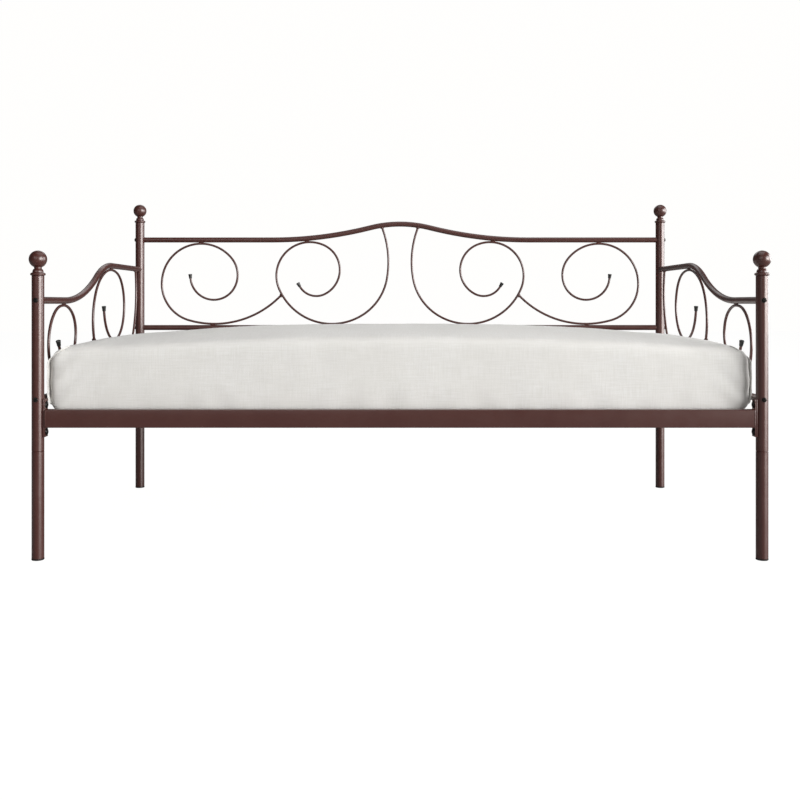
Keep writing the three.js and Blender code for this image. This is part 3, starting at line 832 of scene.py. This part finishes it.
# ---- Mattress -------------------------------------------------------------------------------
HALF_X = 943 * MM
HALF_Y = 482 * MM
CORNER = 24 * MM
BOTTOM = 385 * MM
TOP_HEM = (45 * MM, 27 * MM)  # roundness of the top edge at the ends and along the sides
LOW_HEM = (34 * MM, 14 * MM)
SWELL = 5 * MM  # how far the cover is pushed out by its filling
SWELL_FRAMES = 20
END_LIFT = 7 * MM  # how much fuller the ends are than the crown's curve
END_ZONE = (0.78, 0.93)  # where along the length that starts and is complete

# The flange of each upright corner seam, in x and z from its top to its foot, and its depth.
SEAM_OUTLINE = [
    (894, 566), (908, 557), (924, 545), (939, 532), (945, 520),
    (946, 490), (946, 450), (944, 425), (938, 402),
]
SEAM_DEPTH = {-1: (442 * MM, 477 * MM), 1: (444 * MM, 469 * MM)}  # at the left and right end
SEAM_HALF = 1.1 * MM
SEAM_SINK = 6 * MM  # how far its root lies inside the cover
# The flange's section: how far out to its lip, and which face (1 outer, -1 inner).
SEAM_SECTION = [(0, 1), (0.5, 1), (0.93, 1), (1, 0.5), (1, -0.5), (0.93, -1), (0.5, -1), (0, -1)]


def smooth_step(value, low, high):
    t = np.clip((value - low) / (high - low), 0, 1)
    return t * t * (3 - 2 * t)


def edge_height(x):
    """Height of the top edge along the front and rear."""
    return 597.5 * MM - 0.0431 * x * x + END_LIFT * smooth_step(abs(x), *END_ZONE)


def middle_height(x):
    """Height of the crown along the middle of the bed."""
    return 613.6 * MM - 0.0525 * abs(x) ** 3 + END_LIFT * smooth_step(abs(x), *END_ZONE)


def rounded(q):
    return 1 - math.sqrt(max(0.0, 1 - q * q))


def mattress_point(s, t, level, shrink):
    """A point of the mattress's skin from its place (-1 to 1) on a unit block."""
    half = Vector((HALF_X - shrink, HALF_Y - shrink, 0))
    spread = [math.sin(v * math.pi / 2) for v in (s, t, level)]
    flat = Vector((spread[0] * half.x, spread[1] * half.y, 0))
    core = Vector(
        [max(-(half[i] - CORNER), min(half[i] - CORNER, flat[i])) for i in range(2)] + [0.0]
    )
    beyond = flat - core
    if beyond.length > CORNER:
        flat = core + beyond.normalized() * CORNER
    x, y = flat.x, flat.y
    edge = edge_height(x)
    share = 1 - (y / half.y) ** 2
    top = edge + (middle_height(x) - edge) * share - shrink
    z = BOTTOM + (top - BOTTOM) * (spread[2] + 1) / 2
    for i in range(2):
        above = max(0.0, z - (top - TOP_HEM[i])) / TOP_HEM[i]
        below = max(0.0, BOTTOM + LOW_HEM[i] - z) / LOW_HEM[i]
        inset = TOP_HEM[i] * rounded(above) + LOW_HEM[i] * rounded(below)
        flat[i] *= 1 - inset / half[i]
    return Vector((flat.x, flat.y, z))


def mattress_block(shrink):
    mesh = bmesh.new()
    bmesh.ops.create_cube(mesh, size=2.0)
    bmesh.ops.subdivide_edges(mesh, edges=mesh.edges[:], cuts=47, use_grid_fill=True)
    for v in mesh.verts:
        v.co = mattress_point(v.co.x, v.co.y, v.co.z, shrink)
    return mesh


def applied(obj):
    """The object's mesh with its modifiers in it, and the modifiers gone."""
    depsgraph = bpy.context.evaluated_depsgraph_get()
    depsgraph.update()
    mesh = bpy.data.meshes.new_from_object(obj.evaluated_get(depsgraph))
    obj.modifiers.clear()
    obj.data = mesh
    return mesh


def coordinates(mesh):
    values = np.zeros(len(mesh.vertices) * 3, np.float32)
    mesh.vertices.foreach_get("co", values)
    return values.reshape(-1, 3).astype(float)


def store(mesh, points):
    mesh.vertices.foreach_set("co", points.astype(np.float32).ravel())
    mesh.update()


def swell(obj, pressure, cap):
    """Lets the cover puff up under pressure, each point moving no further than cap."""
    before = coordinates(obj.data)
    cloth = obj.modifiers.new("Cloth", "CLOTH")
    cloth.settings.use_pressure = True
    cloth.settings.uniform_pressure_force = pressure
    cloth.settings.quality = 5
    cloth.settings.mass = 0.3
    cloth.settings.effector_weights.gravity = 0
    cloth.collision_settings.use_collision = False
    cloth.point_cache.frame_start = 1
    cloth.point_cache.frame_end = SWELL_FRAMES
    for number in range(1, SWELL_FRAMES + 1):
        SCENE.frame_set(number)
    depsgraph = bpy.context.evaluated_depsgraph_get()
    after = coordinates(obj.evaluated_get(depsgraph).data)
    obj.modifiers.clear()
    SCENE.frame_set(1)
    moved = after - before
    length = np.linalg.norm(moved, axis=1, keepdims=True)
    limited = cap * np.tanh(length / cap) / np.maximum(length, 1e-9)
    store(obj.data, before + moved * limited)


def dress(points, normals):
    """Slack, pulls towards the corners, and the whole brought back to its stated size."""
    x, y, z = points.T
    slack = np.array([noise.noise(Vector((px * 5, py * 5, pz * 7))) for px, py, pz in points])
    fine = np.array([noise.noise(Vector((px * 17, py * 17, pz * 21 + 4))) for px, py, pz in points])
    near = smooth_step(np.abs(x), 0.80, 0.94) * smooth_step(np.abs(y), 0.30, 0.47)
    pull = np.sin((np.abs(x) * 0.8 + np.abs(y) + 0.9 * z) * 2 * math.pi / 0.062 + 1.5 * slack)
    low = 1 - smooth_step(z, 0.39, 0.47)
    skirt = np.sin(x * 2 * math.pi / 0.11 + 2.2 * slack) * low
    lift = (1.5 * slack + 0.7 * fine + 1.3 * near * pull + 0.7 * skirt) * MM
    flat_under = smooth_step(z, BOTTOM, BOTTOM + 12 * MM)
    points = points + normals * (lift * flat_under)[:, None]
    for axis, half in ((0, HALF_X), (1, HALF_Y)):
        points[:, axis] *= half / np.abs(points[:, axis]).max()
    middle = np.hypot(points[:, 0], points[:, 1]) < 60 * MM
    height = points[middle, 2].max() - BOTTOM
    points[:, 2] = BOTTOM + (points[:, 2] - BOTTOM) * (middle_height(0) - BOTTOM) / height
    points[:, 2] = np.maximum(points[:, 2], BOTTOM)
    return points


def make_mattress():
    work = mattress_block(SWELL)
    mesh = bpy.data.meshes.new("mattress_cover")
    work.to_mesh(mesh)
    work.free()
    made = piece("mattress_cover", mesh, LINEN, "mattress_body", ["mattress"])
    remesh = made.modifiers.new("Remesh", "REMESH")
    remesh.mode = "VOXEL"
    remesh.voxel_size = 11 * MM
    applied(made)
    swell(made, pressure=4.0, cap=SWELL)
    made.modifiers.new("Subdivision", "SUBSURF").levels = 1
    mesh = applied(made)
    normals = np.zeros(len(mesh.vertices) * 3, np.float32)
    mesh.vertices.foreach_get("normal", normals)
    store(mesh, dress(coordinates(mesh), normals.reshape(-1, 3)))
    mesh.shade_smooth()
    if not mesh.materials:
        mesh.materials.append(LINEN)


def smoothed(points, steps=6):
    """A Catmull-Rom curve through points."""
    ends = [2 * points[0] - points[1], *points, 2 * points[-1] - points[-2]]
    out = []
    for a, b, c, d in zip(ends, ends[1:], ends[2:], ends[3:]):
        for i in range(steps):
            t = i / steps
            square = (2 * a - 5 * b + 4 * c - d) * t**2
            cube = (3 * b - 3 * c + d - a) * t**3
            out.append((2 * b + (c - a) * t + square + cube) / 2)
    return [*out, points[-1]]


def make_seam(name, side, end):
    """The sewn flange that stands out along one upright corner of the cover."""
    line = smoothed([Vector((x * MM, 0, z * MM)) for x, z in SEAM_OUTLINE])
    root, lip = SEAM_DEPTH[side]
    rings = []
    for i, at in enumerate(line):
        way = (line[min(i + 1, len(line) - 1)] - line[max(i - 1, 0)]).normalized()
        out = Vector((-way.z, 0, way.x))
        share = i / (len(line) - 1)
        taper = float(smooth_step(share, 0, 0.12)) * (1 - float(smooth_step(share, 0.94, 1)))
        depth = (lip - root) * (0.25 + 0.75 * taper)
        flutter = 0.4 * MM * math.sin(0.9 * i + side + 2 * end)
        ring = []
        for reach, half in SEAM_SECTION:
            sunk = SEAM_SINK * (1 - reach) ** 2
            place = at + out * (half * SEAM_HALF - sunk - SEAM_HALF + flutter * reach)
            ring.append(Vector((side * place.x, end * (root + depth * reach), place.z)))
        rings.append(ring)
    piece(name, Shape().rings(rings), LINEN, "mattress_body", sharp=60)


# ---- Assembly -------------------------------------------------------------------------------
for side, x in (("left", -1), ("right", 1)):
    for end, y in (("front", -1), ("rear", 1)):
        make_corner(f"{end}_{side}", -x, y)
    make_arm(side, x)
make_back()
make_fasteners()
make_rail("front_rail", -POST_Y, 1)
make_rail("rear_rail", POST_Y, -1)
make_slats()
make_mattress()
for side, x in (("left", -1), ("right", 1)):
    for end, y in (("front", -1), ("rear", 1)):
        make_seam(f"mattress_{end}_{side}_seam", x, y)


# ---- Stage, light and camera ----------------------------------------------------------------
def plane(name, size, material, at):
    half = size / 2
    mesh = bpy.data.meshes.new(name)
    corners = [(-half, -half, 0), (half, -half, 0), (half, half, 0), (-half, half, 0)]
    mesh.from_pydata([tuple(Vector(c) + at) for c in corners], [], [(0, 1, 2, 3)])
    mesh.materials.append(material)
    made = bpy.data.objects.new(name, mesh)
    SCENE.collection.objects.link(made)


def softbox(name, at, target, width, height, radiance, tint=(1, 1, 1), diffuse=True):
    """An area light; one that isn't diffuse only shows in reflections."""
    light = bpy.data.lights.new(name, "AREA")
    light.shape = "RECTANGLE"
    light.size = width
    light.size_y = height
    light.energy = radiance * math.pi * width * height
    light.color = tint
    made = bpy.data.objects.new(name, light)
    made.location = at
    made.rotation_mode = "QUATERNION"
    made.rotation_quaternion = (Vector(target) - Vector(at)).to_track_quat("-Z", "Y")
    made.visible_diffuse = diffuse
    SCENE.collection.objects.link(made)


def make_world(seen, given):
    """A white room to the camera, and a dimmer grey one to everything that it lights."""
    world = bpy.data.worlds.new("room")
    world.use_nodes = True
    tree = world.node_tree
    tree.nodes.clear()
    rays = tree.nodes.new("ShaderNodeLightPath")
    backgrounds = []
    for strength in (given, seen):
        node = tree.nodes.new("ShaderNodeBackground")
        node.inputs["Color"].default_value = rgb(1.0, 0.995, 0.985)
        node.inputs["Strength"].default_value = strength
        backgrounds.append(node)
    mix = tree.nodes.new("ShaderNodeMixShader")
    output = tree.nodes.new("ShaderNodeOutputWorld")
    tree.links.new(rays.outputs["Is Camera Ray"], mix.inputs[0])
    tree.links.new(backgrounds[0].outputs[0], mix.inputs[1])
    tree.links.new(backgrounds[1].outputs[0], mix.inputs[2])
    tree.links.new(mix.outputs[0], output.inputs["Surface"])
    SCENE.world = world


plane("floor", 40, stage_paint("floor_paint", 0.975), Vector((0, 0, 0)))
make_world(seen=1.0, given=0.12)
softbox("key_light", (14.0, -9.0, 3.7), (0, 0, 0.5), 12.0, 7.2, 14.3)
softbox("side_light", (5.0, 1.2, 1.6), (0, 0.2, 0.6), 3.0, 2.6, 8.0, diffuse=False)
softbox("low_strip", (13.5, -8.8, 0.9), (0, 0, 0.5), 12.0, 1.6, 16.0, (1, 0.82, 0.74), diffuse=False)
softbox("fill_light", (-1.6, -4.8, 2.2), (0, 0, 0.5), 3.5, 2.0, 1.9)
softbox("back_light", (-0.8, 5.8, 5.4), (0, 0, 0.5), 6.0, 2.4, 1.4)
softbox("top_light", (0.6, -0.4, 4.2), (0, 0, 0.4), 4.0, 3.0, 1.2)
SCENE.view_settings.view_transform = "Standard"
SCENE.view_settings.look = "None"

camera_data = bpy.data.cameras.new("camera")
camera_data.lens = 43.46
camera_data.sensor_width = 36
camera_data.shift_y = -0.1211
camera = bpy.data.objects.new("camera", camera_data)
camera.location = (0, -3.0634, 0.680)
camera.rotation_euler = (math.pi / 2, 0, 0)
SCENE.collection.objects.link(camera)
SCENE.camera = camera
